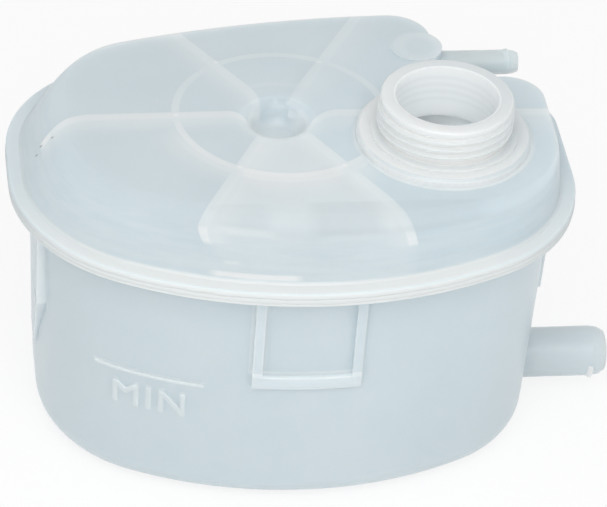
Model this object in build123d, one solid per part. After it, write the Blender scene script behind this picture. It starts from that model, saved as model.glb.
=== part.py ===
from build123d import *
import os
from math import acos, atan2, cos, degrees, hypot, radians, sin, sqrt, tan

# Coolant expansion tank: a domed upper shell welded to a deep pan at a flange.
# Millimetres, +Z up. The origin is on the pan's underside, below the middle of the lid's well.
# +X points along both hose nipples and -Y is the front, which carries the MIN mark.

# Heights and walls
pan_h = 96.0  # underside of the pan to underside of the flange
lower_lip_t = 2.2  # the two lips that are welded together
upper_lip_t = 3.3
lip_round = 0.7  # along the lips' free edges
seam_chamfer = 0.4  # along both edges of the weld
dome_h = 11.5  # top of the flange to the crown
wall_t = 2.8
draft = 1.8  # degrees, on the pan's walls
pan_edge_r = 12.0  # round between the pan's walls and its underside

# Plan of the flange's outer edge, measured from the well's axis
plan_left = 95.5
plan_right = 103.3
plan_front = 87.5
front_mid = 6.0  # the front arc's centre lies this far to the right
front_r = 148.0
left_corner_r = 63.0
right_corner_r = 57.0
back_r = 400.0
back_left_r = 53.2
back_left_y = 1.7
back_right_r = 21.4
back_right_y = 51.0
notch_x = 68.9  # notch at the back right, for the small nipple
notch_y = 30.7
notch_r = 5.5
shoulder_r = 20.5

# Steps inward from the flange's edge
foot_in = 5.6  # to the foot of the dome
foot_chamfer = 1.0  # where the dome stands on the flange
pan_in = 8.0  # to the pan's outer wall
pan_corner_spare = 2.0  # by which the pan's back corners exceed the least that can be rounded

# Steps inward from the foot of the dome to the edge of the crown
crown_in_left = 16.0
crown_in_right = 0.2
crown_in_front = 24.0
crown_in_back = 1.4
crown_front_shift = 14.0
crown_front_r = 165.0
crown_corner_r = 39.0
crown_back_r = 388.0
crown_back_left_r = 31.0
crown_back_left_rise = 18.8
# Share of the dome's rise, and share of the step inward reached there
dome_profile = ((0.0, 0.0), (0.36, 0.25), (0.62, 0.44), (0.82, 0.63), (0.95, 0.83), (1.0, 1.0))

# Central well: a smooth funnel, as radius and depth points from just above its edge to its flat floor
well_points = ((15.5, -0.3), (12.4, 0.3), (10.6, 1.3), (9.4, 2.9), (8.5, 5.0), (7.0, 7.1), (3.0, 8.4))

# Webs and ring under the lid, which show through it
web_w = 4.0
web_depth = 6.7  # crown to the webs' lower edges
web_angles = (0.0, 60.0, 120.0, 180.0, 240.0, 300.0)
ring_r = 36.9  # to the middle of the ring
ring_w = 2.6

# Filler neck
neck_to_edge = 46.4  # neck's axis to the flange's right edge
neck_y = -14.0
neck_bore_r = 18.1
neck_root_r = 22.4
neck_h = 14.5  # above the base disc
rim_r = 23.3
rim_h = 2.2
rim_chamfer = 0.6
thread_h = 1.6
thread_pitch = 3.0
thread_turns = 3.2
thread_base_w = 2.2
thread_crest_w = 0.8
thread_start = 2.0  # above the base disc
disc_r = 30.8
disc_h = 3.2
disc_chamfer = 0.8
collar_w = 2.0  # step around the neck's foot, beyond the thread
collar_h = 0.8

# Small nipple in the notch
small_r = 4.5
small_bore_r = 2.8
small_l = 30.6
small_z = 4.1  # axis above the top of the flange
small_from_wall = 19.1  # axis behind the notch's front wall
small_bead_h = 0.5
boss_r = 9.7
boss_h = 0.4  # above the crown
boss_proud = 2.1  # beyond the notch's side wall

# Outlet nipple low on the right
outlet_r = 9.2
outlet_bore_r = 6.7
outlet_l = 29.7
outlet_y = -14.0
outlet_z = 15.5
outlet_bead_h = 1.0
bead_w = 1.6  # rise of a hose bead, along the nipple
small_taper_l = 4.0  # tapered end of each nipple
outlet_taper_l = 5.2
end_wall = 0.8  # wall left at a nipple's tapered end

# U-shaped frames on the front wall and the right flank
frame_w = 38.0
frame_bar = 3.4
frame_foot_z = 54.7
frame_foot_h = 4.8
frame_out = 1.8
front_frame_x = 4.0
right_frame_y = -6.5

# Pocket with a tapered foot on the left flank
pocket_y = -16.0
pocket_foot_w = 11.5
pocket_foot_z = 33.0
pocket_taper_z = 61.0
pocket_floor_z = 55.0
pocket_in = 1.2  # its flat face lies inside the wall's top by this

# MIN mark on the front left
mark_z = 52.0
mark_from_x = -67.2
mark_to_x = -31.0
mark_line_t = 1.0
mark_out = 0.7
letter_angle = 252.0  # direction that the letters face
letter_top_z = 46.6
letter_h = 9.0
letter_stroke = 1.5
letter_w = 9.2
letter_slant = 2.3  # upright thickness of a slanted stroke
letter_dip = 4.8  # from a letter's top down to the lowest point of the M's middle
letter_pitch = 8.4  # middle letter to the other two

weld_z = pan_h + lower_lip_t
dome_z = weld_z + upper_lip_t
crown_z = dome_z + dome_h
neck_x = plan_right - neck_to_edge
# The letters are set about the axis of the front left corner.
letter_axis_x = left_corner_r - plan_left
letter_reach = front_r - left_corner_r
letter_axis_y = front_r - plan_front - sqrt(letter_reach**2 - (letter_axis_x - front_mid) ** 2)


def grown(plan, by):
    """The same plan with every side moved outward by a distance."""
    moved = dict(plan)
    for name in ("left", "right", "front", "front_r", "left_r", "right_r"):
        moved[name] = plan[name] + by
    for name in ("back_r", "back_left_r", "back_right_r", "notch_x", "notch_y", "shoulder_r"):
        moved[name] = plan[name] + by
    moved["notch_r"] = plan["notch_r"] - by
    return moved


def between(first, second, share):
    """A plan part of the way from one plan to another."""
    return {name: first[name] + (second[name] - first[name]) * share for name in first}


def plan_face(plan, z):
    """The closed outline of a plan as a face at height z."""
    arc_x = plan["front_mid"]
    arc_y = plan["front_r"] - plan["front"]
    left_x = plan["left_r"] - plan["left"]
    right_x = plan["right"] - plan["right_r"]
    left_y = arc_y - sqrt((plan["front_r"] - plan["left_r"]) ** 2 - (left_x - arc_x) ** 2)
    right_y = arc_y - sqrt((plan["front_r"] - plan["right_r"]) ** 2 - (right_x - arc_x) ** 2)
    left_angle = 360 + degrees(atan2(left_y - arc_y, left_x - arc_x))
    right_angle = 360 + degrees(atan2(right_y - arc_y, right_x - arc_x))
    rear_x = plan["back_left_r"] - plan["left"]
    rear_y = plan["back_left_y"]
    corner_x = plan["notch_x"] - plan["back_right_r"]
    corner_y = plan["back_right_y"]
    # The back is a flat arc that touches both back corners.
    to_rear = plan["back_r"] - plan["back_left_r"]
    to_corner = plan["back_r"] - plan["back_right_r"]
    apart = hypot(corner_x - rear_x, corner_y - rear_y)
    lean = atan2(corner_y - rear_y, corner_x - rear_x)
    lean -= acos((apart**2 + to_rear**2 - to_corner**2) / (2 * apart * to_rear))
    back_x = rear_x + to_rear * cos(lean)
    back_y = rear_y + to_rear * sin(lean)
    rear_angle = degrees(atan2(rear_y - back_y, rear_x - back_x))
    corner_angle = degrees(atan2(corner_y - back_y, corner_x - back_x))
    side_x = plan["right"] - plan["shoulder_r"]
    side_y = plan["notch_y"] - plan["shoulder_r"]
    hollow_x = plan["notch_x"] + plan["notch_r"]
    hollow_y = plan["notch_y"] + plan["notch_r"]
    edges = [
        Line((plan["right"], right_y), (plan["right"], side_y)),
        CenterArc((side_x, side_y), plan["shoulder_r"], 0, 90),
        Line((side_x, plan["notch_y"]), (hollow_x, plan["notch_y"])),
        CenterArc((hollow_x, hollow_y), plan["notch_r"], 270, -90),
        Line((plan["notch_x"], hollow_y), (plan["notch_x"], corner_y)),
        CenterArc((corner_x, corner_y), plan["back_right_r"], 0, corner_angle),
        CenterArc((back_x, back_y), plan["back_r"], corner_angle, rear_angle - corner_angle),
        CenterArc((rear_x, rear_y), plan["back_left_r"], rear_angle, 180 - rear_angle),
        Line((-plan["left"], rear_y), (-plan["left"], left_y)),
        CenterArc((left_x, left_y), plan["left_r"], 180, left_angle - 180),
        CenterArc((arc_x, arc_y), plan["front_r"], left_angle, right_angle - left_angle),
        CenterArc((right_x, right_y), plan["right_r"], right_angle, 360 - right_angle),
    ]
    return Pos(0, 0, z) * make_face(edges)


def dome(foot, crown, low_z, rise):
    """A dome that rises from the foot plan to the crown plan."""
    sections = []
    for height, inward in dome_profile:
        sections.append(plan_face(between(foot, crown, inward), low_z + rise * height))
    return loft(sections)


def upright(radius, low_z, high_z, x=0.0, y=0.0):
    """A vertical cylinder between two heights."""
    return Pos(x, y, (low_z + high_z) / 2) * Cylinder(radius, high_z - low_z)


def turned(points, x=0.0, y=0.0):
    """A solid turned about a vertical axis from radius and height points."""
    profile = make_face(Polyline(*[(r, 0, z) for r, z in points], close=True))
    return Pos(x, y, 0) * revolve(profile, Axis.Z)


def turned_along_x(points, y, z):
    """A solid turned about an axis parallel to X from x and radius points."""
    profile = make_face(Polyline(*[(x, r, 0) for x, r in points], close=True))
    return Pos(0, y, z) * revolve(profile, Axis.X)


def nipple(start, end, radius, bore, taper_l, y, z):
    """A hose nipple along X with a rounded end, before it is bored."""
    tip = bore + end_wall
    points = [
        (start, 0),
        (start, radius),
        (end - taper_l, radius),
        (end - taper_l * 0.4, radius - (radius - tip) * 0.3),
        (end, tip),
        (end, 0),
    ]
    return turned_along_x(points, y, z)


def half_bead(x, radius, height, y, z, side):
    """A hose bead around the upper or lower half of a nipple."""
    base = radius - height
    bead = turned_along_x(
        [(x - bead_w, base), (x - bead_w, radius), (x, radius + height), (x + bead_w, radius - height)], y, z
    )
    reach = 4 * radius
    half = Pos(x, y, z + side * reach / 2) * Box(reach, reach, reach)
    return bead & half


flange_plan = {
    "left": plan_left,
    "right": plan_right,
    "front": plan_front,
    "front_mid": front_mid,
    "front_r": front_r,
    "left_r": left_corner_r,
    "right_r": right_corner_r,
    "back_r": back_r,
    "back_left_r": back_left_r,
    "back_left_y": back_left_y,
    "back_right_r": back_right_r,
    "back_right_y": back_right_y,
    "notch_x": notch_x,
    "notch_y": notch_y,
    "notch_r": notch_r,
    "shoulder_r": shoulder_r,
}
foot_plan = grown(flange_plan, -foot_in)
crown_plan = dict(
    foot_plan,
    left=foot_plan["left"] - crown_in_left,
    right=foot_plan["right"] - crown_in_right,
    front=foot_plan["front"] - crown_in_front,
    front_mid=front_mid + crown_front_shift,
    front_r=crown_front_r,
    left_r=crown_corner_r,
    right_r=crown_corner_r,
    back_r=crown_back_r,
    back_left_r=crown_back_left_r,
    back_left_y=back_left_y + crown_back_left_rise,
    back_right_r=foot_plan["back_right_r"] - crown_in_back,
    notch_x=foot_plan["notch_x"] - crown_in_back,
    notch_y=foot_plan["notch_y"] - crown_in_back,
    notch_r=foot_plan["notch_r"] + crown_in_back,
    shoulder_r=foot_plan["shoulder_r"] - crown_in_back,
)
# The pan's two back corners stay round down to its underside.
pan_plan = grown(flange_plan, -pan_in)
pan_corner_r = pan_edge_r + pan_h * tan(radians(draft)) + pan_corner_spare
pan_plan["back_right_y"] += pan_plan["back_right_r"] - pan_corner_r
pan_plan["back_right_r"] = pan_corner_r
pan_plan["shoulder_r"] = pan_corner_r

# Upper shell: dome and lip
lid = extrude(plan_face(flange_plan, weld_z), upper_lip_t)
lid = fillet(lid.faces().sort_by(Axis.Z)[-1].edges(), lip_round)
lid = chamfer(lid.faces().sort_by(Axis.Z)[0].edges(), seam_chamfer)
lid += extrude(plan_face(grown(foot_plan, foot_chamfer), dome_z), foot_chamfer, taper=45)
lid += dome(foot_plan, crown_plan, dome_z + foot_chamfer, dome_h - foot_chamfer)


def funnel(wall):
    """The well, or the cup that holds it when a wall is added."""
    points = [(r + wall, 0, crown_z - depth - wall) for r, depth in well_points]
    slope = Spline(*points, tangents=[(-5, 0, -1), (-1, 0, 0)])
    top_z = points[0][2]
    rest = Polyline(points[-1], (0, 0, points[-1][2]), (0, 0, top_z), points[0])
    return revolve(make_face([slope, *rest.edges()]), Axis.Z)


lid -= funnel(0.0)

# Neck and its base disc
disc_z = crown_z + disc_h
rim_z = disc_z + neck_h
thread_r = neck_root_r + thread_h
collar_r = thread_r + collar_w
rim_step = rim_r - neck_root_r
lid += turned(
    [
        (0, crown_z - wall_t / 2),
        (disc_r, crown_z - wall_t / 2),
        (disc_r, disc_z - disc_chamfer),
        (disc_r - disc_chamfer, disc_z),
        (collar_r, disc_z),
        (collar_r, disc_z + collar_h),
        (neck_root_r, disc_z + collar_h),
        (neck_root_r, rim_z - rim_h - rim_step),
        (rim_r, rim_z - rim_h),
        (rim_r, rim_z - rim_chamfer),
        (rim_r - rim_chamfer, rim_z),
        (0, rim_z),
    ],
    neck_x,
    neck_y,
)

# Thread, sunk slightly into the neck
sunk = thread_h / 8
helix = Helix(thread_pitch, thread_pitch * thread_turns, neck_root_r - sunk)
tooth_plane = Plane(helix @ 0, x_dir=(1, 0, 0), z_dir=helix % 0)
tooth = Polyline(
    (0, -thread_base_w / 2),
    (sunk + thread_h, -thread_crest_w / 2),
    (sunk + thread_h, thread_crest_w / 2),
    (0, thread_base_w / 2),
    close=True,
)
thread = sweep(tooth_plane * make_face(tooth), path=helix, is_frenet=True)
lid += Pos(neck_x, neck_y, disc_z + thread_start) * thread

# Boss and small nipple
small_y = foot_plan["notch_y"] + small_from_wall
nipple_z = dome_z + small_z
boss_x = foot_plan["notch_x"] - boss_r + boss_proud
boss_z = crown_z + boss_h
small_end = foot_plan["notch_x"] + small_l
lid += upright(boss_r, dome_z, boss_z, boss_x, small_y)
lid += nipple(boss_x, small_end, small_r, small_bore_r, small_taper_l, small_y, nipple_z)
lid += half_bead(small_end - small_taper_l, small_r, small_bead_h, small_y, nipple_z, 1)

# Hollow of the upper shell
inner_foot = grown(foot_plan, -wall_t)
inner_crown = grown(crown_plan, -wall_t)
lid_hollow = extrude(plan_face(inner_foot, weld_z), upper_lip_t)
lid_hollow += dome(inner_foot, inner_crown, dome_z, dome_h - wall_t)
lid_hollow -= funnel(wall_t)

# Webs and ring are left standing where the hollow is cut out. They stop short of the neck.
web_low_z = crown_z - web_depth
web_reach = plan_left + plan_right
webs = upright(ring_r + ring_w / 2, web_low_z, crown_z) - upright(ring_r - ring_w / 2, web_low_z, crown_z)
for angle in web_angles:
    web = Pos(web_reach / 2, 0, (web_low_z + crown_z) / 2) * Box(web_reach, web_w, web_depth)
    webs += Rot(0, 0, angle) * web
webs -= upright(collar_r, web_low_z, crown_z, neck_x, neck_y)
lid_hollow -= webs
upper_shell = lid - lid_hollow
upper_shell -= upright(neck_bore_r, weld_z, rim_z, neck_x, neck_y)
upper_shell -= turned_along_x(
    [(boss_x - boss_r, 0), (boss_x - boss_r, small_bore_r), (small_end, small_bore_r), (small_end, 0)],
    small_y,
    nipple_z,
)


def pan_block(plan, low_z):
    """The drafted block inside a plan, from the flange down to a height."""
    return extrude(plan_face(plan, pan_h), pan_h - low_z, dir=(0, 0, -1), taper=draft)


def rounded_block(plan, low_z, edge_r):
    """A drafted block with a round all along its lower edge."""
    block = pan_block(plan, low_z)
    return fillet(block.faces().sort_by(Axis.Z)[0].edges(), edge_r)


# Lower shell: pan and lip
lower_lip = extrude(plan_face(flange_plan, pan_h), lower_lip_t)
lower_lip = fillet(lower_lip.faces().sort_by(Axis.Z)[0].edges(), lip_round)
lower_lip = chamfer(lower_lip.faces().sort_by(Axis.Z)[-1].edges(), seam_chamfer)
pan = rounded_block(pan_plan, 0.0, pan_edge_r) + lower_lip


def raised(shape, out):
    """What stands out from the pan's wall by a distance inside a shape."""
    return shape & pan_block(grown(pan_plan, out), 0.0)


def slab(low_x, high_x, low_y, high_y, low_z, high_z):
    """A box between two corners."""
    middle = Pos((low_x + high_x) / 2, (low_y + high_y) / 2, (low_z + high_z) / 2)
    return middle * Box(high_x - low_x, high_y - low_y, high_z - low_z)


def frame(mid, reach):
    """A U-shaped frame that faces the front, before it is fitted to the wall."""
    low = mid - frame_w / 2
    high = mid + frame_w / 2
    depth = reach / 2
    bars = slab(low, low + frame_bar, -reach, -depth, frame_foot_z, pan_h)
    bars += slab(high - frame_bar, high, -reach, -depth, frame_foot_z, pan_h)
    bars += slab(low, high, -reach, -depth, frame_foot_z, frame_foot_z + frame_foot_h)
    return bars


pan += raised(frame(front_frame_x, plan_front), frame_out)
pan += raised(Rot(0, 0, 90) * frame(right_frame_y, plan_right), frame_out)

# Pocket on the left flank: a flat pad with a tapered foot, open inside
half_pad = frame_w / 2
half_foot = pocket_foot_w / 2
pad = Polyline(
    (pocket_y - half_pad, pan_h),
    (pocket_y - half_pad, pocket_taper_z),
    (pocket_y - half_foot, pocket_foot_z),
    (pocket_y + half_foot, pocket_foot_z),
    (pocket_y + half_pad, pocket_taper_z),
    (pocket_y + half_pad, pan_h),
    close=True,
)
pocket_x = pocket_in - pan_plan["left"]
inside = half_pad - frame_bar
pocket = Pos(pocket_x, 0, 0) * extrude(Plane.YZ * make_face(pad), plan_left / 4)
pocket -= slab(pocket_x, 0, pocket_y - inside, pocket_y + inside, pocket_floor_z, pan_h)
pan += pocket

# MIN line and letters
line_low_z = mark_z - mark_line_t / 2
line = slab(mark_from_x, mark_to_x, -plan_front, -plan_front / 3, line_low_z, line_low_z + mark_line_t)
pan += raised(line, mark_out)


def letter(points, left):
    """A letter that faces the front, through the whole wall, from points in its own box."""
    outline = Polyline(*[(left + s, letter_low_z + z) for s, z in points], close=True)
    return extrude(Plane.XZ * make_face(outline), plan_front)


letter_low_z = letter_top_z - letter_h
inner = letter_w - letter_stroke
dip_z = letter_h - letter_dip
letter_m = [
    (0, 0),
    (letter_stroke, 0),
    (letter_stroke, letter_h - letter_slant),
    (letter_w / 2, dip_z),
    (inner, letter_h - letter_slant),
    (inner, 0),
    (letter_w, 0),
    (letter_w, letter_h),
    (inner, letter_h),
    (letter_w / 2, dip_z + letter_slant),
    (letter_stroke, letter_h),
    (0, letter_h),
]
letter_i = [(0, 0), (letter_stroke, 0), (letter_stroke, letter_h), (0, letter_h)]
letter_n = [
    (0, 0),
    (letter_stroke, 0),
    (letter_stroke, letter_h - letter_slant),
    (inner, 0),
    (letter_w, 0),
    (letter_w, letter_h),
    (inner, letter_h),
    (inner, letter_slant),
    (letter_stroke, letter_h),
    (0, letter_h),
]
letters = letter(letter_m, -letter_pitch - letter_w / 2)
letters += letter(letter_i, -letter_stroke / 2)
letters += letter(letter_n, letter_pitch - letter_w / 2)
letters = Pos(letter_axis_x, letter_axis_y, 0) * Rot(0, 0, letter_angle - 270) * letters
pan += raised(letters, mark_out)

# Outlet nipple
outlet_start = plan_right / 2
outlet_end = pan_plan["right"] + outlet_l
pan += nipple(outlet_start, outlet_end, outlet_r, outlet_bore_r, outlet_taper_l, outlet_y, outlet_z)
pan += half_bead(outlet_end - outlet_taper_l, outlet_r, outlet_bead_h, outlet_y, outlet_z, -1)

# Hollow of the lower shell
hollow_plan = grown(pan_plan, -wall_t)
pan_hollow = rounded_block(hollow_plan, wall_t, pan_edge_r - wall_t)
pan_hollow += extrude(plan_face(hollow_plan, pan_h), lower_lip_t)
lower_shell = pan - pan_hollow
lower_shell -= turned_along_x(
    [(outlet_start, 0), (outlet_start, outlet_bore_r), (outlet_end, outlet_bore_r), (outlet_end, 0)],
    outlet_y,
    outlet_z,
)

os.makedirs("parts", exist_ok=True)
export_step(upper_shell, "parts/upper_shell.step")
export_step(lower_shell, "parts/lower_shell.step")
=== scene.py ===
import math

import bmesh
import bpy
from mathutils import Matrix, Vector


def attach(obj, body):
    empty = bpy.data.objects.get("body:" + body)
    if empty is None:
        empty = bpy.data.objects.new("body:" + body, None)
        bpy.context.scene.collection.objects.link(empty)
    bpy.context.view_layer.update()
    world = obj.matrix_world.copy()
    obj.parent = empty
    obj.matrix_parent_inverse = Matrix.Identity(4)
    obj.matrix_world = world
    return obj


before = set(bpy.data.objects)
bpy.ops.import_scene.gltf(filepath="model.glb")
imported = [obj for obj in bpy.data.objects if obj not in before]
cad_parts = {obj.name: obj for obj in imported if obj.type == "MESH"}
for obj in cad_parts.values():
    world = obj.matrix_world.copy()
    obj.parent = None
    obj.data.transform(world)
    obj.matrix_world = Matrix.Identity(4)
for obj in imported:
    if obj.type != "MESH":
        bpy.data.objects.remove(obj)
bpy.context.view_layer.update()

# Camera, in metres and degrees: its direction from the lid's well, how far it stands off, its lens
LOOK_AT = Vector((0.0, 0.0, 0.116))
CAMERA_ELEVATION = 36.55
CAMERA_AZIMUTH = -9.52
CAMERA_ROLL = 4.31
CAMERA_DISTANCE = 1.2
CAMERA_SLIDE = (0.01253, -0.04932)
SENSOR_WIDTH = 36.0
FOCAL_LENGTH = 202.34

# Light, in metres and watts: the surround's strength, a soft box in front, a faint lamp inside the
# tank, and the floor with the share of plain white in what the camera sees of it
SURROUND = 0.64
BOX_PLACE = (-0.08, -0.64, 0.76)
BOX_AIM = (0.0, -0.03, 0.09)
BOX_SIZE = (0.8, 0.6)
BOX_POWER = 4.0
GLOW_PLACE = (0.05, -0.014, 0.066)
GLOW_RADIUS = 0.015
GLOW_POWER = 0.0235
FLOOR_SIZE = 8.0
FLOOR_WHITE = 0.8

# Colours, linear: thin wall of the lid and of the pan, thick wall, and the inside, painted light for
# the light that the milky walls let in
WHITE = (1.0, 1.0, 1.0, 1.0)
BLACK = (0.0, 0.0, 0.0)
THIN = (0.612, 0.705, 0.75)
PAN_THIN = (0.605, 0.688, 0.726)
THICK = (0.838, 0.885, 0.90)
INSIDE_LIT = (0.90, 0.955, 0.975)
# The welded rim, the neck's faint warmth, the small nipple and its underside in painted light, and the
# weld's bead
RIM = (0.795, 0.825, 0.825)
WARM = (0.75, 0.5, 0.35)
NIPPLE = (0.68, 0.83, 0.89)
NIPPLE_UNDER_LIT = (0.83, 0.93, 0.965)
BEAD_THIN = (0.62, 0.68, 0.705)
BEAD_THICK = (0.72, 0.75, 0.755)

# Plastic: its refraction, how deep light scatters in it and how much less at the rim, in metres, and
# the scale per millimetre of its flow marks, speckle and skin, the skin's depth in metres and strength
REFRACTION = 1.49
SCATTER_DEPTH = 0.008
SCATTER_LESS = -0.0068
SCATTER_RADIUS = (1.0, 1.0, 1.0)
FLOW_SCALE = 0.035
SPECKLE_SCALE = 0.9
SKIN_SCALE = 1.6
SKIN_DEPTH = 0.0002
SKIN_STRENGTH = 0.12
BEAD_FLOW_SCALE = 0.25
BEAD_SKIN_STRENGTH = 0.2

# The weld's bead, in metres: half its depth and half its height, its steps, its sides, and the height,
# number and start of the waves that make it uneven
BEAD_RADIUS = (0.0006, 0.0013)
BEAD_STEP = 0.0015
BEAD_SIDES = 12
BEAD_WAVES = ((0.05, 23.0, 0.0), (0.04, 57.0, 1.3))
# The weld plane, how near a point on it has to be, and how near two points are the same
WELD_PLANE = 0.0982
FLAT = 2e-5
SAME_POINT = 2e-6

# Places on the tank, in millimetres, as all below: upright axes in x and y, and heights in z
MIDDLE = (0.0, 0.0)
NECK = (56.9, -14.0)
BOSS = (56.9, 43.4)
SMALL_NIPPLE_YZ = (44.2, 105.6)
FRONT_FRAME_X = 4.0
FLANGE_TOP = 101.5
CROWN = 113.0
BORE_RADIUS = 18.1
DISC_RADIUS = 30.8
THREAD_START = 118.2
THREAD_PITCH = 3.0

# Webs under the lid: direction in degrees, the sharp edge's distance from the middle line at the well,
# what it gains per millimetre outward, its bend toward the well and where that starts, its bend toward
# the skirt and where that starts, the side on which the web fades and how white it shows
WEBS = (
    (0.0, 5.4, -0.026, -0.065, 22.0, 0.0, 66.0, -1.0, 0.52),
    (60.0, 2.0, 0.009, -0.013, 22.0, 0.0, 66.0, -1.0, 0.3),
    (120.0, -3.5, 0.02, 0.03, 21.0, 0.0, 66.0, 1.0, 0.44),
    (180.0, -5.36, 0.0125, 0.11, 17.5, 0.033, 66.0, 1.0, 0.7),
    (240.0, -3.0, 0.045, 0.0, 22.0, 0.1, 67.0, 1.0, 0.5),
    (300.0, 4.4, 0.0, 0.0, 22.0, -0.0083, 57.0, -1.0, 0.54),
)
FRONT_WEBS = (240.0, 300.0)
# The ring under the lid, and a faint arc behind the well
RING_MIDDLE = (1.5, 2.7)
RING_RADIUS = 37.5
ARC_MIDDLE = (0.5, 2.0)
# Small bright spots painted on: glints of the sink marks where webs cross the ring, and the gate's two
# nubs behind the well
GLINTS_AND_NUBS = (
    (-18.3, 36.2),
    (19.0, 35.1),
    (-35.8, 3.1),
    (-16.6, -29.2),
    (20.0, -29.4),
    (0.4, 11.6),
    (4.8, 10.5),
)
# Dark specks beyond the left web
SPECKS = ((-79.9, -6.5), (-83.8, -7.6), (-85.5, -10.8))
# Painted highlights on the front of the skirt, reflections of the soft box: from and to in x and in z,
# soft margins and strength
SKIRT_HIGHLIGHTS = (
    (-28.0, -4.0, 102.9, 103.4, 5.0, 0.45, 0.95),
    (-25.0, -22.5, 105.3, 105.5, 3.0, 0.5, 0.3),
    (-22.0, -12.0, 110.7, 110.8, 6.0, 0.8, 0.25),
)
# Painted shade in darker patches under the crown's edge, in the same way
SKIRT_SHADES = (
    (9.0, 25.0, 111.4, 112.8, 8.0, 1.0, 0.09),
    (-26.0, -13.0, 111.7, 112.8, 6.0, 0.8, 0.06),
    (-45.0, 15.0, 106.0, 111.0, 12.0, 1.5, 0.03),
    (36.0, 60.0, 111.4, 112.8, 9.0, 1.2, 0.06),
)
# Streaks along the skirt: how fine they are in x, y and z
STREAKS = (0.05, 0.05, 0.7)
# MIN on the pan: the letters' axis, their turn in degrees, and their strokes, across and up
LETTER_AXIS = (-32.5, -15.28)
LETTER_ANGLE = -18.0
LETTER_STROKES = (
    ((-12.25, 37.6), (-12.25, 46.6)),
    ((-12.25, 46.0), (-8.4, 42.95)),
    ((-8.4, 42.95), (-4.55, 46.0)),
    ((-4.55, 37.6), (-4.55, 46.6)),
    ((0.0, 37.6), (0.0, 46.6)),
    ((4.55, 37.6), (4.55, 46.6)),
    ((4.55, 46.0), (12.25, 38.2)),
    ((12.25, 37.6), (12.25, 46.6)),
)

# Below, a slope is what Nodes.smooth takes: two limits and the values there, or 0 and 1. A band is what
# Nodes.band takes: two limits, the width of the soft edge outside them and the height, or 1.

# Slopes: where a face is on the inside, by its direction, the well's and the neck's radius, the notch
# beside the small nipple, and height
INWARD = (-0.35, -0.2, 1.0, 0.0)
DOWNWARD = (-0.6, -0.4, 1.0, 0.0)
PAST_WELL = (16.0, 18.0)
NOTCH_X = (56.0, 58.0)
NOTCH_Y = (34.0, 36.0)
BELOW_CROWN = (110.0, 111.0, 1.0, 0.0)
ABOVE_FOOT = (20.0, 22.0)
IN_BORE = (BORE_RADIUS + 0.3, BORE_RADIUS + 0.9, 1.0, 0.0)

# Slopes: a web's white by the distance inside its sharp edge, and its start by the radius
WEB_EDGE = (-0.3, 0.5)
WEB_FLAT = (3.0, 5.0, 0.36, 0.0)
WEB_FADE = (2.0, 15.0, 0.64, 0.0)
WEB_START = (6.0, 7.0)
# Bands and the white of a web's tip on the skirt
TIP_WIDTH = (0.2, 3.2, 0.6)
TIP_HEIGHT = (108.6, 110.4, 0.8)
TIP_WHITE = 0.3
# The sector between the front webs, painted lighter for the light that falls on the front: slopes by
# the distance inside them, radius and height
SECTOR_EDGE = (0.0, 7.0)
SECTOR_START = (9.5, 11.0)
SECTOR_LIGHT = (106.0, 112.0, 0.1, 0.34)
# Bands of the ring, the painted highlight on the well's front lip, and the arc, each with slopes in y
RING_WIDTH = (-1.0, 1.0, 0.7)
RING_WHITE = (-16.0, 24.0, 0.7, 0.27)
RING_GLOW = (-20.0, 6.0, 0.55, 0.0)
LIP_WIDTH = (10.4, 11.4, 0.5)
LIP_HIGHLIGHT = (-7.0, -4.0, 0.5, 0.0)
ARC_WIDTH = (18.7, 20.5, 0.6, 0.13)
ARC_START = (14.0, 18.0)
# Slopes: where webs and ring show, by the radius and the height in the well and by the lid's height
WELL_REACH = (14.0, 16.0, 1.0, 0.0)
WELL_REACH_HEIGHT = (106.0, 107.4)
LID_REACH_HEIGHT = (107.6, 108.8)
# Slopes: the painted bright spots and the specks by the distance from their middle, and the specks'
# lowest height
DOT_WHITE = (0.4, 1.3, 0.35, 0.0)
SPECK_DARK = (0.2, 0.7, 0.5, 0.0)
SPECK_HEIGHT = (FLANGE_TOP + 0.1, FLANGE_TOP + 0.3)
# The well, in painted light on its floor and on its walls left and right against their shade, and in
# painted shade inside its edge: slopes of its floor, its walls left and right with a band in height,
# and its dark edge
WELL_FLOOR = (9.5, 10.8, 1.0, 0.0)
WELL_FLOOR_LIGHT = (104.2, 110.5, 0.45, 0.15)
WELL_SIDES_LIGHT = (4.5, 9.5, 0.0, 0.6)
WELL_WALL = (11.2, 12.4, 1.0, 0.0)
WELL_WALL_HEIGHT = (105.5, 111.2, 1.5)
WELL_SHADE = (10.8, 13.0, 0.02, 0.0)
# Painted shade on the well's lip at the back, over its highlight: a band in the radius, slopes in y and
# in height
BACK_LIP = (9.0, 12.2, 0.8, 0.05)
BACK_LIP_START = (5.0, 9.0)
BACK_LIP_HEIGHT = (109.5, 111.0)
# The boss of the small nipple: a slope and a band by the distance from its axis, a slope in height
BOSS_WHITE = (8.6, 10.6, 0.12, 0.0)
BOSS_EDGE = (6.6, 8.4, 2.4, 0.14)
BOSS_HEIGHT = (CROWN - 1.0, CROWN)
# The small nipple: slopes by the distance from its axis, in x and in height, the last for the painted
# light on its underside
NIPPLE_REACH = (5.6, 6.2, 1.0, 0.0)
NIPPLE_START = (62.0, 70.0)
NIPPLE_BELOW = (SMALL_NIPPLE_YZ[1] - 3.0, SMALL_NIPPLE_YZ[1], 1.0, 0.0)
# The neck and its disc: slopes by the distance from its axis and in height, and by x plus y for painted
# light, brightest toward the front and left
ON_DISC = (DISC_RADIUS, DISC_RADIUS + 0.6, 1.0, 0.0)
ABOVE_CROWN = (CROWN + 0.05, CROWN + 0.4)
NECK_FRONT_LIGHT = (15.0, 75.0, 1.0, 0.5)
NECK_DARK = 0.09
NECK_WARM = 0.08
DISC_WHITE = (25.0, 27.0, 0.0, 0.2)
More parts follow.
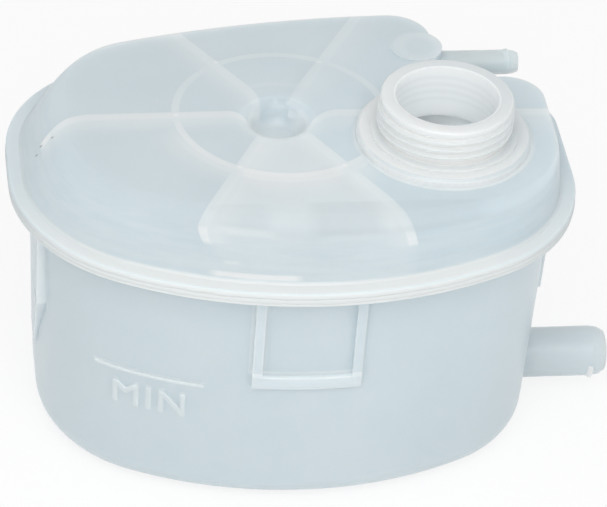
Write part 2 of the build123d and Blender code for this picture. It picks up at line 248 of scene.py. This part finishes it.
# Painted shade over the highlight on the disc's rounded edge, and painted light over the shadow on the
# lid just outside it: bands, and slopes in y
ROUNDING_WIDTH = (29.8, 30.6, 0.25)
ROUNDING_SHADE = (-42.0, 10.0, 0.9, 0.35)
DISC_FOOT_WIDTH = (DISC_RADIUS - 0.1, DISC_RADIUS + 0.2, 1.8)
DISC_FOOT_HEIGHT = (CROWN - 0.2, CROWN + 0.8, 0.8)
DISC_FOOT_LIGHT = (-42.0, 0.0, 1.1, 0.5)
# The thread: painted light in its grooves against their shade, by the distance from the axis, and bands
# of its depth and height
GROOVE_LIGHT = (22.5, 23.7, 0.5, -0.08)
THREAD_DEPTH = (21.5, 24.6, 0.3)
THREAD_HEIGHT = (116.4, 127.6, 0.5)
# The thread's shadow in the bore: its wave's gain and middle, and a band in height
BORE_WAVE = (-0.025, 0.015)
BORE_WAVE_HEIGHT = (THREAD_START - 1.0, THREAD_START + 9.0, 1.0)
# The welded rim: slopes of its painted light in y and x, most in front and least on the right, the
# lid's and the pan's part of it by height, the painted shade over the highlight on the lid's edge, and
# the bands where it is rough and where light scatters less deep
RIM_FRONT_LIGHT = (-80.0, -5.0, 1.0, 0.32)
RIM_RIGHT = (60.0, 95.0, 0.0, 0.18)
LID_RIM = (FLANGE_TOP + 0.3, FLANGE_TOP + 1.2, 1.0, 0.0)
LID_RIM_EDGE_SHADE = (FLANGE_TOP - 0.45, FLANGE_TOP - 0.03, 0.02, 0.5)
PAN_RIM = (95.2, 96.2)
RIM_ROUGH = (95.0, 101.7, 0.6, 0.25)
RIM_SHALLOW = (95.6, 101.6, 0.6)
# The skirt: a band of its height, slopes of its front in y, its painted shade in x, deeper toward the
# right, and its streaks in noise
SKIRT_HEIGHT = (FLANGE_TOP + 2.0, CROWN - 2.5, 1.8)
SKIRT_FRONT = (-52.0, -50.0, 1.0, 0.0)
SKIRT_PAINTED_SHADE = (-60.0, 40.0, 0.01, 0.08)
STREAK_WHITE = (0.35, 0.65, -0.07, 0.07)
# The front frame, painted lighter along the left bar and its edges against their shade, with a painted
# highlight on the foot's top and painted shade under it: slopes of the pan's front and of the left bar,
# bands of the bar, its two edges and its height, and of the foot, its top and its underside, with a
# slope of the foot's width
PAN_FRONT = (-60.0, -58.0, 1.0, 0.0)
LEFT_BAR = (FRONT_FRAME_X - 10.0, FRONT_FRAME_X - 8.0, 1.0, 0.0)
BAR_BANDS = ((14.8, 20.0, 0.5, 0.1), (14.4, 15.8, 0.4, 0.22), (18.8, 20.2, 0.4, 0.22))
BAR_HEIGHT = (60.0, 95.0, 0.4)
FOOT = (56.0, 60.8, 0.5, 0.2)
FOOT_TOP_HIGHLIGHT = (59.3, 61.0, 0.4, 0.3)
FOOT_UNDER_SHADE = (54.7, 55.5, 0.4, 0.15)
FOOT_WIDTH = (19.0, 19.8, 1.0, 0.0)
# MIN and its line, in painted light over the shade on and beside their raised strokes: the letters'
# white by the distance from a stroke, their side of the pan, the bands
LETTER_WHITE = (0.8, 1.5, 0.3, 0.0)
LETTER_FRONT = (-40.0, -35.0, 1.0, 0.0)
LINE_HEIGHT = (51.4, 53.2, 0.4, 0.35)
LINE_WIDTH = (-67.2, -31.0, 0.6)
# Painted light on the left pocket's lit edge: a band in y, and slopes in x and in height
POCKET_EDGE = (-35.4, -34.6, 0.5, 0.4)
POCKET_SIDE = (-83.0, -80.0, 1.0, 0.0)
POCKET_HEIGHT = (55.0, 60.0)
# Painted shade on the pan toward the right, and the lighter outlet, as slopes in x
PAN_RIGHT_SHADE = (20.0, 60.0, 0.0, 0.035)
OUTLET_LIGHT = (95.0, 99.0, 1.0, -0.6)
# Slopes of noise: white from flow marks and speckle, and roughness, of the shells and of the bead
FLOW_WHITE = (0.3, 0.7, -0.05, 0.05)
SPECKLE_WHITE = (0.3, 0.7, -0.012, 0.012)
SATIN = (0.3, 0.7, 0.28, 0.36)
BEAD_WHITE = (0.3, 0.7, -0.1, 0.1)
BEAD_DULL = (0.3, 0.7, 0.45, 0.6)


def add_camera():
    """A camera at the photograph's angle."""
    elevation = math.radians(CAMERA_ELEVATION)
    azimuth = math.radians(CAMERA_AZIMUTH)
    roll = math.radians(CAMERA_ROLL)
    back = Vector(
        (
            math.sin(azimuth) * math.cos(elevation),
            -math.cos(azimuth) * math.cos(elevation),
            math.sin(elevation),
        )
    )
    right = Vector((math.cos(azimuth), math.sin(azimuth), 0.0))
    up = back.cross(right)
    place = LOOK_AT + back * CAMERA_DISTANCE + right * CAMERA_SLIDE[0] + up * CAMERA_SLIDE[1]
    x_axis = right * math.cos(roll) + up * math.sin(roll)
    y_axis = up * math.cos(roll) - right * math.sin(roll)
    turn = Matrix((x_axis, y_axis, back)).transposed()
    data = bpy.data.cameras.new("photo_camera")
    data.sensor_width = SENSOR_WIDTH
    data.sensor_fit = "HORIZONTAL"
    data.lens = FOCAL_LENGTH
    camera = bpy.data.objects.new("photo_camera", data)
    camera.matrix_world = Matrix.Translation(place) @ turn.to_4x4()
    bpy.context.scene.collection.objects.link(camera)
    bpy.context.scene.camera = camera


def add_lamp(name, place, aim, size, power):
    """A soft box that faces a point."""
    data = bpy.data.lights.new(name, "AREA")
    data.shape = "RECTANGLE"
    data.size, data.size_y = size
    data.energy = power
    lamp = bpy.data.objects.new(name, data)
    lamp.location = place
    lamp.rotation_euler = (Vector(aim) - Vector(place)).to_track_quat("-Z", "Y").to_euler()
    bpy.context.scene.collection.objects.link(lamp)


def add_glow(name, place, radius, power):
    """A small round lamp inside the tank, for the light that its milky walls pass on."""
    data = bpy.data.lights.new(name, "POINT")
    data.shadow_soft_size = radius
    data.energy = power
    lamp = bpy.data.objects.new(name, data)
    lamp.location = place
    lamp.visible_camera = False
    bpy.context.scene.collection.objects.link(lamp)


def seen_straight(tree):
    """One for what the camera, a reflection or clear material looks at directly, else zero."""
    path = tree.nodes.new("ShaderNodeLightPath")
    seen = path.outputs["Is Camera Ray"]
    for name in ("Is Glossy Ray", "Is Transmission Ray"):
        most = tree.nodes.new("ShaderNodeMath")
        most.operation = "MAXIMUM"
        tree.links.new(seen, most.inputs[0])
        tree.links.new(path.outputs[name], most.inputs[1])
        seen = most.outputs["Value"]
    return seen


def add_world(strength):
    """An even white surround."""
    world = bpy.data.worlds.new("studio")
    world.use_nodes = True
    tree = world.node_tree
    background = tree.nodes["Background"]
    background.inputs["Color"].default_value = WHITE
    level = tree.nodes.new("ShaderNodeMapRange")
    tree.links.new(seen_straight(tree), level.inputs["Value"])
    level.inputs["To Min"].default_value = strength
    level.inputs["To Max"].default_value = 1.0
    tree.links.new(level.outputs["Result"], background.inputs["Strength"])
    bpy.context.scene.world = world


class Nodes:
    """A material's node tree, with short calls for the nodes used here."""

    def __init__(self, material):
        self.tree = material.node_tree
        self.shader = self.tree.nodes["Principled BSDF"]

    def put(self, socket, value):
        """Sets a socket from another socket or from a plain value."""
        if isinstance(value, bpy.types.NodeSocket):
            self.tree.links.new(value, socket)
        else:
            socket.default_value = value

    def math(self, operation, *values):
        """One math node."""
        node = self.tree.nodes.new("ShaderNodeMath")
        node.operation = operation
        for socket, value in zip(node.inputs, values):
            self.put(socket, value)
        return node.outputs["Value"]

    def fold(self, operation, values):
        """One operation over several values in turn."""
        result = values[0]
        for value in values[1:]:
            result = self.math(operation, result, value)
        return result

    def total(self, *values):
        return self.fold("ADD", values)

    def product(self, *values):
        return self.fold("MULTIPLY", values)

    def most(self, *values):
        return self.fold("MAXIMUM", values)

    def least(self, *values):
        return self.fold("MINIMUM", values)

    def minus(self, value, taken):
        return self.math("SUBTRACT", value, taken)

    def smooth(self, value, low, high, to_low=0.0, to_high=1.0):
        """Goes smoothly from one value to another between two limits."""
        node = self.tree.nodes.new("ShaderNodeMapRange")
        node.interpolation_type = "SMOOTHSTEP"
        for name, entry in (
            ("Value", value),
            ("From Min", low),
            ("From Max", high),
            ("To Min", to_low),
            ("To Max", to_high),
        ):
            self.put(node.inputs[name], entry)
        return node.outputs["Result"]

    def band(self, value, low, high, edge, height=1.0):
        """A height between two limits, falling to zero over an edge's width outside them."""
        rise = self.smooth(value, low - edge, low, 0.0, height)
        fall = self.smooth(value, high, high + edge, 1.0, 0.0)
        return self.product(rise, fall)

    def noise(self, place, scale, detail=3.0):
        """Soft noise, finer with a larger scale."""
        node = self.tree.nodes.new("ShaderNodeTexNoise")
        self.put(node.inputs["Vector"], place)
        node.inputs["Scale"].default_value = scale
        node.inputs["Detail"].default_value = detail
        return node.outputs["Fac"]

    def blend(self, share, first, second):
        """A colour part of the way from one to another."""
        node = self.tree.nodes.new("ShaderNodeMix")
        node.data_type = "RGBA"
        node.clamp_factor = False
        self.put(node.inputs["Factor"], share)
        for name, entry in (("A", first), ("B", second)):
            socket = next(s for s in node.inputs if s.name == name and s.type == "RGBA")
            self.put(socket, (*entry, 1.0) if isinstance(entry, tuple) else entry)
        return next(s for s in node.outputs if s.type == "RGBA")

    def millimetres(self):
        """The place on the object, whole and as x, y and z, in millimetres."""
        coordinates = self.tree.nodes.new("ShaderNodeTexCoord").outputs["Object"]
        scaled = self.tree.nodes.new("ShaderNodeVectorMath")
        scaled.operation = "SCALE"
        self.put(scaled.inputs[0], coordinates)
        scaled.inputs["Scale"].default_value = 1000.0
        split = self.tree.nodes.new("ShaderNodeSeparateXYZ")
        self.put(split.inputs[0], scaled.outputs[0])
        return scaled.outputs[0], *split.outputs

    def distance(self, across, up, middle):
        """How far a place is from a middle, in two directions."""
        away = [self.minus(value, start) for value, start in zip((across, up), middle)]
        return self.math("SQRT", self.total(*(self.product(side, side) for side in away)))

    def toward(self, x, y, degrees):
        """How far a place lies in a direction."""
        turn = math.radians(degrees)
        return self.total(self.product(x, math.cos(turn)), self.product(y, math.sin(turn)))

    def skin(self, place, strength):
        """A fine uneven skin, as bump."""
        bump = self.tree.nodes.new("ShaderNodeBump")
        bump.inputs["Strength"].default_value = strength
        bump.inputs["Distance"].default_value = SKIN_DEPTH
        self.put(bump.inputs["Height"], self.noise(place, SKIN_SCALE))
        self.put(self.shader.inputs["Normal"], bump.outputs["Normal"])


def new_material(name):
    """An empty material with nodes."""
    material = bpy.data.materials.new(name)
    material.use_nodes = True
    return material


def faces_in(nodes, x, y, z):
    """One on the inside: faces toward the middle line or down from the lid, and the neck's bore."""
    geometry = nodes.tree.nodes.new("ShaderNodeNewGeometry")
    split = nodes.tree.nodes.new("ShaderNodeSeparateXYZ")
    nodes.put(split.inputs[0], geometry.outputs["True Normal"])
    normal_x, normal_y, normal_z = split.outputs
    radius = nodes.distance(x, y, MIDDLE)
    outward = nodes.total(nodes.product(normal_x, x), nodes.product(normal_y, y))
    outward = nodes.math("DIVIDE", outward, nodes.total(radius, 1.0))
    notch = nodes.product(nodes.smooth(x, *NOTCH_X), nodes.smooth(y, *NOTCH_Y))
    walls = nodes.product(
        nodes.smooth(outward, *INWARD),
        nodes.smooth(radius, *PAST_WELL),
        nodes.minus(1.0, notch),
        nodes.smooth(z, *BELOW_CROWN),
    )
    under = nodes.product(nodes.smooth(normal_z, *DOWNWARD), nodes.smooth(z, *ABOVE_FOOT))
    bore = nodes.smooth(nodes.distance(x, y, NECK), *IN_BORE)
    return nodes.most(walls, under, bore)


def sheet(nodes, inside):
    """How white a hanging web looks through the lid: sharp at its far edge, then fading."""
    fade = nodes.total(nodes.smooth(inside, *WEB_FLAT), nodes.smooth(inside, *WEB_FADE))
    return nodes.product(nodes.smooth(inside, *WEB_EDGE), fade)


def bend(nodes, out, limit, amount, side):
    """How far an edge has bent at a place inside or outside a limit."""
    past = nodes.most(nodes.product(nodes.minus(out, limit), side), 0.0)
    return nodes.product(past, past, amount)


def web_lines(nodes, x, y, z):
    """How white each web shows, and how far a place is past the edge of each front web."""
    lines = []
    front = []
    for angle, start, lean, inner, inner_start, outer, outer_start, side, white in WEBS:
        out = nodes.toward(x, y, angle)
        edge = nodes.total(
            nodes.math("MULTIPLY_ADD", out, lean, start),
            bend(nodes, out, inner_start, inner, -1.0),
            bend(nodes, out, outer_start, outer, 1.0),
        )
        inside = nodes.product(nodes.minus(nodes.toward(x, y, angle + 90.0), edge), side)
        tip = nodes.product(nodes.band(inside, *TIP_WIDTH), nodes.band(z, *TIP_HEIGHT), TIP_WHITE)
        line = nodes.total(nodes.product(sheet(nodes, inside), white), tip)
        lines.append(nodes.product(line, nodes.smooth(out, *WEB_START)))
        if angle in FRONT_WEBS:
            front.append(nodes.smooth(inside, *SECTOR_EDGE))
    return lines, front


def ring_lines(nodes, x, y, radius):
    """How white the ring, its inner glow, the painted highlight on the well's front lip and the arc
    behind it show.
    """
    from_ring = nodes.minus(nodes.distance(x, y, RING_MIDDLE), RING_RADIUS)
    from_arc = nodes.distance(x, y, ARC_MIDDLE)
    return [
        nodes.product(nodes.band(from_ring, *RING_WIDTH), nodes.smooth(y, *RING_WHITE)),
        nodes.product(sheet(nodes, from_ring), nodes.smooth(y, *RING_GLOW)),
        nodes.product(nodes.band(radius, *LIP_WIDTH), nodes.smooth(y, *LIP_HIGHLIGHT)),
        nodes.product(nodes.band(from_arc, *ARC_WIDTH), nodes.smooth(y, *ARC_START)),
    ]


def show_through(nodes, x, y, z, radius):
    """How white the lid is where webs and ring show through it, with painted light on the front sector
    and small painted bright spots.
    """
    webs, front = web_lines(nodes, x, y, z)
    lines = nodes.most(*webs, *ring_lines(nodes, x, y, radius))
    in_well = nodes.product(nodes.smooth(radius, *WELL_REACH), nodes.smooth(z, *WELL_REACH_HEIGHT))
    reach = nodes.most(in_well, nodes.smooth(z, *LID_REACH_HEIGHT))
    # Painted light on the front sector
    sector = nodes.product(
        *front, nodes.smooth(radius, *SECTOR_START), nodes.smooth(z, *SECTOR_LIGHT)
    )
    # Painted glints of the sink marks, and the gate's nubs as bright dots
    glints_and_nubs = [nodes.smooth(nodes.distance(x, y, place), *DOT_WHITE) for place in GLINTS_AND_NUBS]
    return nodes.total(nodes.product(lines, reach), sector, *glints_and_nubs)


def well_painted_light(nodes, x, z, radius):
    """Painted light on the well's floor and on its walls left and right, against their shade."""
    floor = nodes.product(nodes.smooth(radius, *WELL_FLOOR), nodes.smooth(z, *WELL_FLOOR_LIGHT))
    sides = nodes.product(
        nodes.smooth(nodes.math("ABSOLUTE", x), *WELL_SIDES_LIGHT),
        nodes.smooth(radius, *WELL_WALL),
        nodes.band(z, *WELL_WALL_HEIGHT),
    )
    return nodes.total(sides, floor)


def boss_white(nodes, x, y, z):
    """How white the small nipple's round boss is."""
    away = nodes.distance(x, y, BOSS)
    boss = nodes.total(nodes.smooth(away, *BOSS_WHITE), nodes.band(away, *BOSS_EDGE))
    return nodes.product(boss, nodes.smooth(z, *BOSS_HEIGHT))


def neck_white(nodes, x, y, z, away):
    """How white the neck, its thread and its disc are: painted light toward the front and left and in
    the thread's grooves, and painted shade on the disc's rounded edge.
    """
    # Painted light toward the front and left, and the disc's flat a little whiter
    plain = nodes.total(nodes.smooth(nodes.total(x, y), *NECK_FRONT_LIGHT), nodes.smooth(away, *DISC_WHITE))
    # Painted shade over the highlight on the disc's rounded edge
    rounding_shade = nodes.product(nodes.band(away, *ROUNDING_WIDTH), nodes.smooth(y, *ROUNDING_SHADE))
    # Painted light in the thread's grooves, against their shade
    grooves = nodes.product(
        nodes.smooth(away, *GROOVE_LIGHT),
        nodes.band(z, *THREAD_HEIGHT),
        nodes.band(away, *THREAD_DEPTH),
    )
    return nodes.total(nodes.minus(plain, rounding_shade), grooves)


def disc_foot_light(nodes, y, z, away):
    """Painted light on the lid just outside the neck's disc, over the shadow at its foot."""
    return nodes.product(
        nodes.band(away, *DISC_FOOT_WIDTH),
        nodes.smooth(y, *DISC_FOOT_LIGHT),
        nodes.band(z, *DISC_FOOT_HEIGHT),
    )


def rim_front_light(nodes, x, y):
    """Painted light on the welded rim: most in front, least on the right."""
    return nodes.minus(nodes.smooth(y, *RIM_FRONT_LIGHT), nodes.smooth(x, *RIM_RIGHT))


def marks(nodes, x, y, z, table):
    """Soft patches on the front of the skirt from a table; both the painted highlights and the painted
    shade use it.
    """
    front = nodes.smooth(y, *SKIRT_FRONT)
    patches = []
    for left, right, low, high, soft_x, soft_z, strength in table:
        wide = nodes.band(x, left, right, soft_x, strength)
        patches.append(nodes.product(wide, nodes.band(z, low, high, soft_z), front))
    return nodes.total(*patches)


def streaks(nodes, x, y, z):
    """Faint streaks along the skirt."""
    stretched = nodes.tree.nodes.new("ShaderNodeCombineXYZ")
    for socket, value, scale in zip(stretched.inputs, (x, y, z), STREAKS):
        nodes.put(socket, nodes.product(value, scale))
    noise = nodes.noise(stretched.outputs["Vector"], 1.0, detail=2.0)
    return nodes.smooth(noise, *STREAK_WHITE)


def shade_lid(nodes, x, y, z):
    """How white the lid is where it is thick, where webs show through and where light is painted on,
    how far painted shade, specks and the neck's tone darken it, and its tinted places.
    """
    radius = nodes.distance(x, y, MIDDLE)
    from_neck = nodes.distance(x, y, NECK)
    on_neck = nodes.product(nodes.smooth(from_neck, *ON_DISC), nodes.smooth(z, *ABOVE_CROWN))
    skirt = nodes.band(z, *SKIRT_HEIGHT)
    white = nodes.most(
        # Painted highlights on the skirt's front add to what shows through
        nodes.total(show_through(nodes, x, y, z, radius), marks(nodes, x, y, z, SKIRT_HIGHLIGHTS)),
        well_painted_light(nodes, x, z, radius),
        boss_white(nodes, x, y, z),
        nodes.product(neck_white(nodes, x, y, z, from_neck), on_neck),
        disc_foot_light(nodes, y, z, from_neck),
    )
    white = nodes.math("MULTIPLY_ADD", streaks(nodes, x, y, z), skirt, white)

    # Painted shade over the highlight on the well's back lip
    back_lip_shade = nodes.product(
        nodes.band(radius, *BACK_LIP),
        nodes.smooth(y, *BACK_LIP_START),
        nodes.smooth(z, *BACK_LIP_HEIGHT),
    )
    above_rim = nodes.smooth(z, *SPECK_HEIGHT)
    specks = [nodes.smooth(nodes.distance(x, y, place), *SPECK_DARK) for place in SPECKS]
    dark = nodes.total(
        # Painted shade on the skirt, deeper toward the right
        nodes.product(skirt, nodes.smooth(x, *SKIRT_PAINTED_SHADE)),
        nodes.product(on_neck, NECK_DARK),
        # Painted shade inside the well's edge
        nodes.smooth(radius, *WELL_SHADE),
        back_lip_shade,
        # Painted shade in patches under the crown's edge
        marks(nodes, x, y, z, SKIRT_SHADES),
        nodes.product(nodes.total(*specks), above_rim),
    )

    from_nipple = nodes.distance(y, z, SMALL_NIPPLE_YZ)
    nipple = nodes.product(nodes.smooth(from_nipple, *NIPPLE_REACH), nodes.smooth(x, *NIPPLE_START))
    # Painted shade over the highlight on the lid rim's edge
    rim_edge_shade = nodes.minus(1.0, nodes.band(z, *LID_RIM_EDGE_SHADE))
    tints = (
        (nipple, NIPPLE),
        # The small nipple's underside, in painted light
        (nodes.product(nipple, nodes.smooth(z, *NIPPLE_BELOW)), NIPPLE_UNDER_LIT),
        (nodes.product(nodes.smooth(z, *LID_RIM), rim_front_light(nodes, x, y), rim_edge_shade), RIM),
        (nodes.product(on_neck, NECK_WARM), WARM),
    )
    return white, dark, tints


def stroke(nodes, across, up, start, end):
    """How far a place on the wall is from a letter's stroke."""
    run, rise = end[0] - start[0], end[1] - start[1]
    square = run * run + rise * rise
    before = -(start[0] * run + start[1] * rise) / square
    share = nodes.math("MULTIPLY_ADD", across, run / square, before)
    share = nodes.math("MULTIPLY_ADD", up, rise / square, share)
    share = nodes.least(nodes.most(share, 0.0), 1.0)
    nearest = (
        nodes.math("MULTIPLY_ADD", share, run, start[0]),
        nodes.math("MULTIPLY_ADD", share, rise, start[1]),
    )
    return nodes.distance(across, up, nearest)


def frame_painted_light(nodes, x, y, z):
    """Painted light on the front frame's left bar and its foot: lit edges, a highlight on the foot's
    top, and shade under it.
    """
    away = nodes.math("ABSOLUTE", nodes.minus(x, FRONT_FRAME_X))
    bars = nodes.product(
        nodes.total(*(nodes.band(away, *limits) for limits in BAR_BANDS)),
        nodes.smooth(x, *LEFT_BAR),
        nodes.band(z, *BAR_HEIGHT),
    )
    foot = nodes.total(nodes.band(z, *FOOT), nodes.band(z, *FOOT_TOP_HIGHLIGHT))
    foot = nodes.minus(foot, nodes.band(z, *FOOT_UNDER_SHADE))
    foot = nodes.product(foot, nodes.smooth(away, *FOOT_WIDTH))
    return nodes.product(nodes.total(bars, foot), nodes.smooth(y, *PAN_FRONT))


def letter_painted_light(nodes, x, y, z):
    """Painted light on MIN and the line above it, over the shade on and beside their raised strokes."""
    from_axis = nodes.minus(x, LETTER_AXIS[0]), nodes.minus(y, LETTER_AXIS[1])
    across = nodes.toward(*from_axis, LETTER_ANGLE)
    nearest = nodes.least(*(stroke(nodes, across, z, *ends) for ends in LETTER_STROKES))
    letters = nodes.smooth(nearest, *LETTER_WHITE)
    line = nodes.product(nodes.band(z, *LINE_HEIGHT), nodes.band(x, *LINE_WIDTH))
    return nodes.product(nodes.total(letters, line), nodes.smooth(y, *LETTER_FRONT))


def shade_pan(nodes, x, y, z):
    """How white the pan is where light is painted on, how far painted shade darkens it, and its tinted
    rim.
    """
    # Painted light on the left pocket's lit edge
    pocket = nodes.product(
        nodes.band(y, *POCKET_EDGE),
        nodes.smooth(x, *POCKET_SIDE),
        nodes.smooth(z, *POCKET_HEIGHT),
    )
    white = nodes.total(pocket, frame_painted_light(nodes, x, y, z), letter_painted_light(nodes, x, y, z))
    # Painted shade toward the right, lifted on the outlet
    dark = nodes.product(nodes.smooth(x, *PAN_RIGHT_SHADE), nodes.smooth(x, *OUTLET_LIGHT))
    rim = nodes.product(nodes.smooth(z, *PAN_RIM), rim_front_light(nodes, x, y))
    return white, dark, ((rim, RIM),)


def thread_lines(nodes, x, y, z):
    """How far the thread outside darkens the neck's bore between its turns."""
    angle = nodes.math("ARCTAN2", nodes.minus(y, NECK[1]), nodes.minus(x, NECK[0]))
    turns = nodes.product(nodes.minus(z, THREAD_START), 2.0 * math.pi / THREAD_PITCH)
    wave = nodes.math("COSINE", nodes.minus(turns, angle))
    wave = nodes.math("MULTIPLY_ADD", wave, *BORE_WAVE)
    return nodes.product(wave, nodes.band(z, *BORE_WAVE_HEIGHT))


def plastic(name, shade, thin):
    """Natural polypropylene: milky, satin, with faint flow marks and a fine skin."""
    material = new_material(name)
    nodes = Nodes(material)
    place, x, y, z = nodes.millimetres()
    flow = nodes.noise(place, FLOW_SCALE)
    speckle = nodes.noise(place, SPECKLE_SCALE, detail=2.0)
    white, dark, tints = shade(nodes, x, y, z)
    white = nodes.total(
        white, nodes.smooth(flow, *FLOW_WHITE), nodes.smooth(speckle, *SPECKLE_WHITE)
    )
    colour = nodes.blend(dark, nodes.blend(white, thin, THICK), BLACK)
    for share, tint in tints:
        colour = nodes.blend(share, colour, tint)
    # The inside faces get the inside colour's painted light, darkened between the thread's turns
    inside = nodes.blend(thread_lines(nodes, x, y, z), INSIDE_LIT, BLACK)
    colour = nodes.blend(faces_in(nodes, x, y, z), colour, inside)
    nodes.put(nodes.shader.inputs["Base Color"], colour)
    rough = nodes.total(nodes.smooth(flow, *SATIN), nodes.band(z, *RIM_ROUGH))
    nodes.put(nodes.shader.inputs["Roughness"], rough)
    nodes.skin(place, SKIN_STRENGTH)
    nodes.shader.inputs["IOR"].default_value = REFRACTION
    nodes.shader.inputs["Subsurface Weight"].default_value = 1.0
    nodes.shader.inputs["Subsurface Radius"].default_value = SCATTER_RADIUS
    shallow = nodes.band(z, *RIM_SHALLOW)
    depth = nodes.math("MULTIPLY_ADD", shallow, SCATTER_LESS, SCATTER_DEPTH)
    nodes.put(nodes.shader.inputs["Subsurface Scale"], depth)
    return material


def bead_plastic():
    """The weld's squeezed-out plastic: white, dull and uneven, lighter in front with the rim's painted
    light.
    """
    material = new_material("weld_bead")
    nodes = Nodes(material)
    place, x, y, _ = nodes.millimetres()
    flow = nodes.noise(place, BEAD_FLOW_SCALE)
    white = nodes.total(rim_front_light(nodes, x, y), nodes.smooth(flow, *BEAD_WHITE))
    nodes.put(nodes.shader.inputs["Base Color"], nodes.blend(white, BEAD_THIN, BEAD_THICK))
    nodes.put(nodes.shader.inputs["Roughness"], nodes.smooth(flow, *BEAD_DULL))
    nodes.skin(place, BEAD_SKIN_STRENGTH)
    nodes.shader.inputs["IOR"].default_value = REFRACTION
    return material


def weld_line(lid):
    """The lid's outer edge on the weld plane, as points in order around it."""
    shape = bmesh.new()
    shape.from_mesh(lid.data)
    bmesh.ops.remove_doubles(shape, verts=shape.verts, dist=SAME_POINT)
    shape.verts.index_update()
    onward = {}
    for edge in shape.edges:
        ends = edge.verts
        if any(abs(v.co.z - WELD_PLANE) > FLAT for v in ends):
            continue
        above = WELD_PLANE + FLAT
        side = [face for face in edge.link_faces if any(v.co.z > above for v in face.verts)]
        if side and side[0].normal.xy.dot(ends[0].co.xy) > 0.0:
            for first, second in ((ends[0], ends[1]), (ends[1], ends[0])):
                onward.setdefault(first.index, []).append(second.index)
    shape.verts.ensure_lookup_table()
    start = min(onward)
    order = [start]
    last, here = None, start
    while True:
        ahead = [i for i in onward[here] if i != last]
        last, here = here, ahead[0]
        if here == start:
            break
        order.append(here)
    points = [shape.verts[i].co.copy() for i in order]
    shape.free()
    return points


def even_steps(points, step):
    """A closed line's points at even steps."""
    lengths = [(b - a).length for a, b in zip(points, points[1:] + points[:1])]
    count = round(sum(lengths) / step)
    spacing = sum(lengths) / count
    result = []
    index, passed = 0, 0.0
    for k in range(count):
        target = k * spacing
        while passed + lengths[index] < target:
            passed += lengths[index]
            index += 1
        share = (target - passed) / lengths[index]
        result.append(points[index].lerp(points[(index + 1) % len(points)], share))
    return result


def add_bead(lid, material):
    """The weld's bead, a thin uneven ridge that fills the groove between the shells."""
    path = even_steps(weld_line(lid), BEAD_STEP)
    up = Vector((0.0, 0.0, 1.0))
    shape = bmesh.new()
    rings = []
    for k, point in enumerate(path):
        tangent = (path[(k + 1) % len(path)] - path[k - 1]).normalized()
        outward = Vector((tangent.y, -tangent.x, 0.0))
        turn = 2.0 * math.pi * k / len(path)
        uneven = 1.0
        for height, count, start in BEAD_WAVES:
            uneven += height * math.sin(count * turn + start)
        ring = []
        for j in range(BEAD_SIDES):
            angle = 2.0 * math.pi * j / BEAD_SIDES
            away = outward * math.cos(angle) * BEAD_RADIUS[0] + up * math.sin(angle) * BEAD_RADIUS[1]
            ring.append(shape.verts.new(point + away * uneven))
        rings.append(ring)
    for k, ring in enumerate(rings):
        following = rings[(k + 1) % len(rings)]
        for j in range(BEAD_SIDES):
            n = (j + 1) % BEAD_SIDES
            shape.faces.new((ring[j], following[j], following[n], ring[n])).smooth = True
    bmesh.ops.recalc_face_normals(shape, faces=shape.faces)
    data = bpy.data.meshes.new("weld_bead")
    shape.to_mesh(data)
    shape.free()
    data.materials.append(material)
    bead = bpy.data.objects.new("weld_bead", data)
    bpy.context.scene.collection.objects.link(bead)
    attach(bead, "root")


def add_floor():
    """A white floor that keeps a light shadow of the tank."""
    bpy.ops.mesh.primitive_plane_add(size=FLOOR_SIZE)
    floor = bpy.context.object
    floor.name = "floor"
    material = new_material("floor")
    nodes = Nodes(material)
    nodes.shader.inputs["Base Color"].default_value = WHITE
    nodes.shader.inputs["Roughness"].default_value = 1.0
    nodes.shader.inputs["Specular IOR Level"].default_value = 0.0
    white = nodes.tree.nodes.new("ShaderNodeEmission")
    mix = nodes.tree.nodes.new("ShaderNodeMixShader")
    nodes.put(mix.inputs["Fac"], nodes.product(seen_straight(nodes.tree), FLOOR_WHITE))
    nodes.put(mix.inputs[1], nodes.shader.outputs["BSDF"])
    nodes.put(mix.inputs[2], white.outputs["Emission"])
    nodes.put(nodes.tree.nodes["Material Output"].inputs["Surface"], mix.outputs["Shader"])
    floor.data.materials.append(material)


add_camera()
add_world(SURROUND)
add_lamp("front_box", BOX_PLACE, BOX_AIM, BOX_SIZE, BOX_POWER)
add_glow("inside_glow", GLOW_PLACE, GLOW_RADIUS, GLOW_POWER)
bpy.context.scene.view_settings.view_transform = "Standard"
for name, shade, thin in (("upper_shell", shade_lid, THIN), ("lower_shell", shade_pan, PAN_THIN)):
    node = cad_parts[name]
    node.data.materials.clear()
    node.data.materials.append(plastic(name, shade, thin))
add_bead(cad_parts["upper_shell"], bead_plastic())
add_floor()
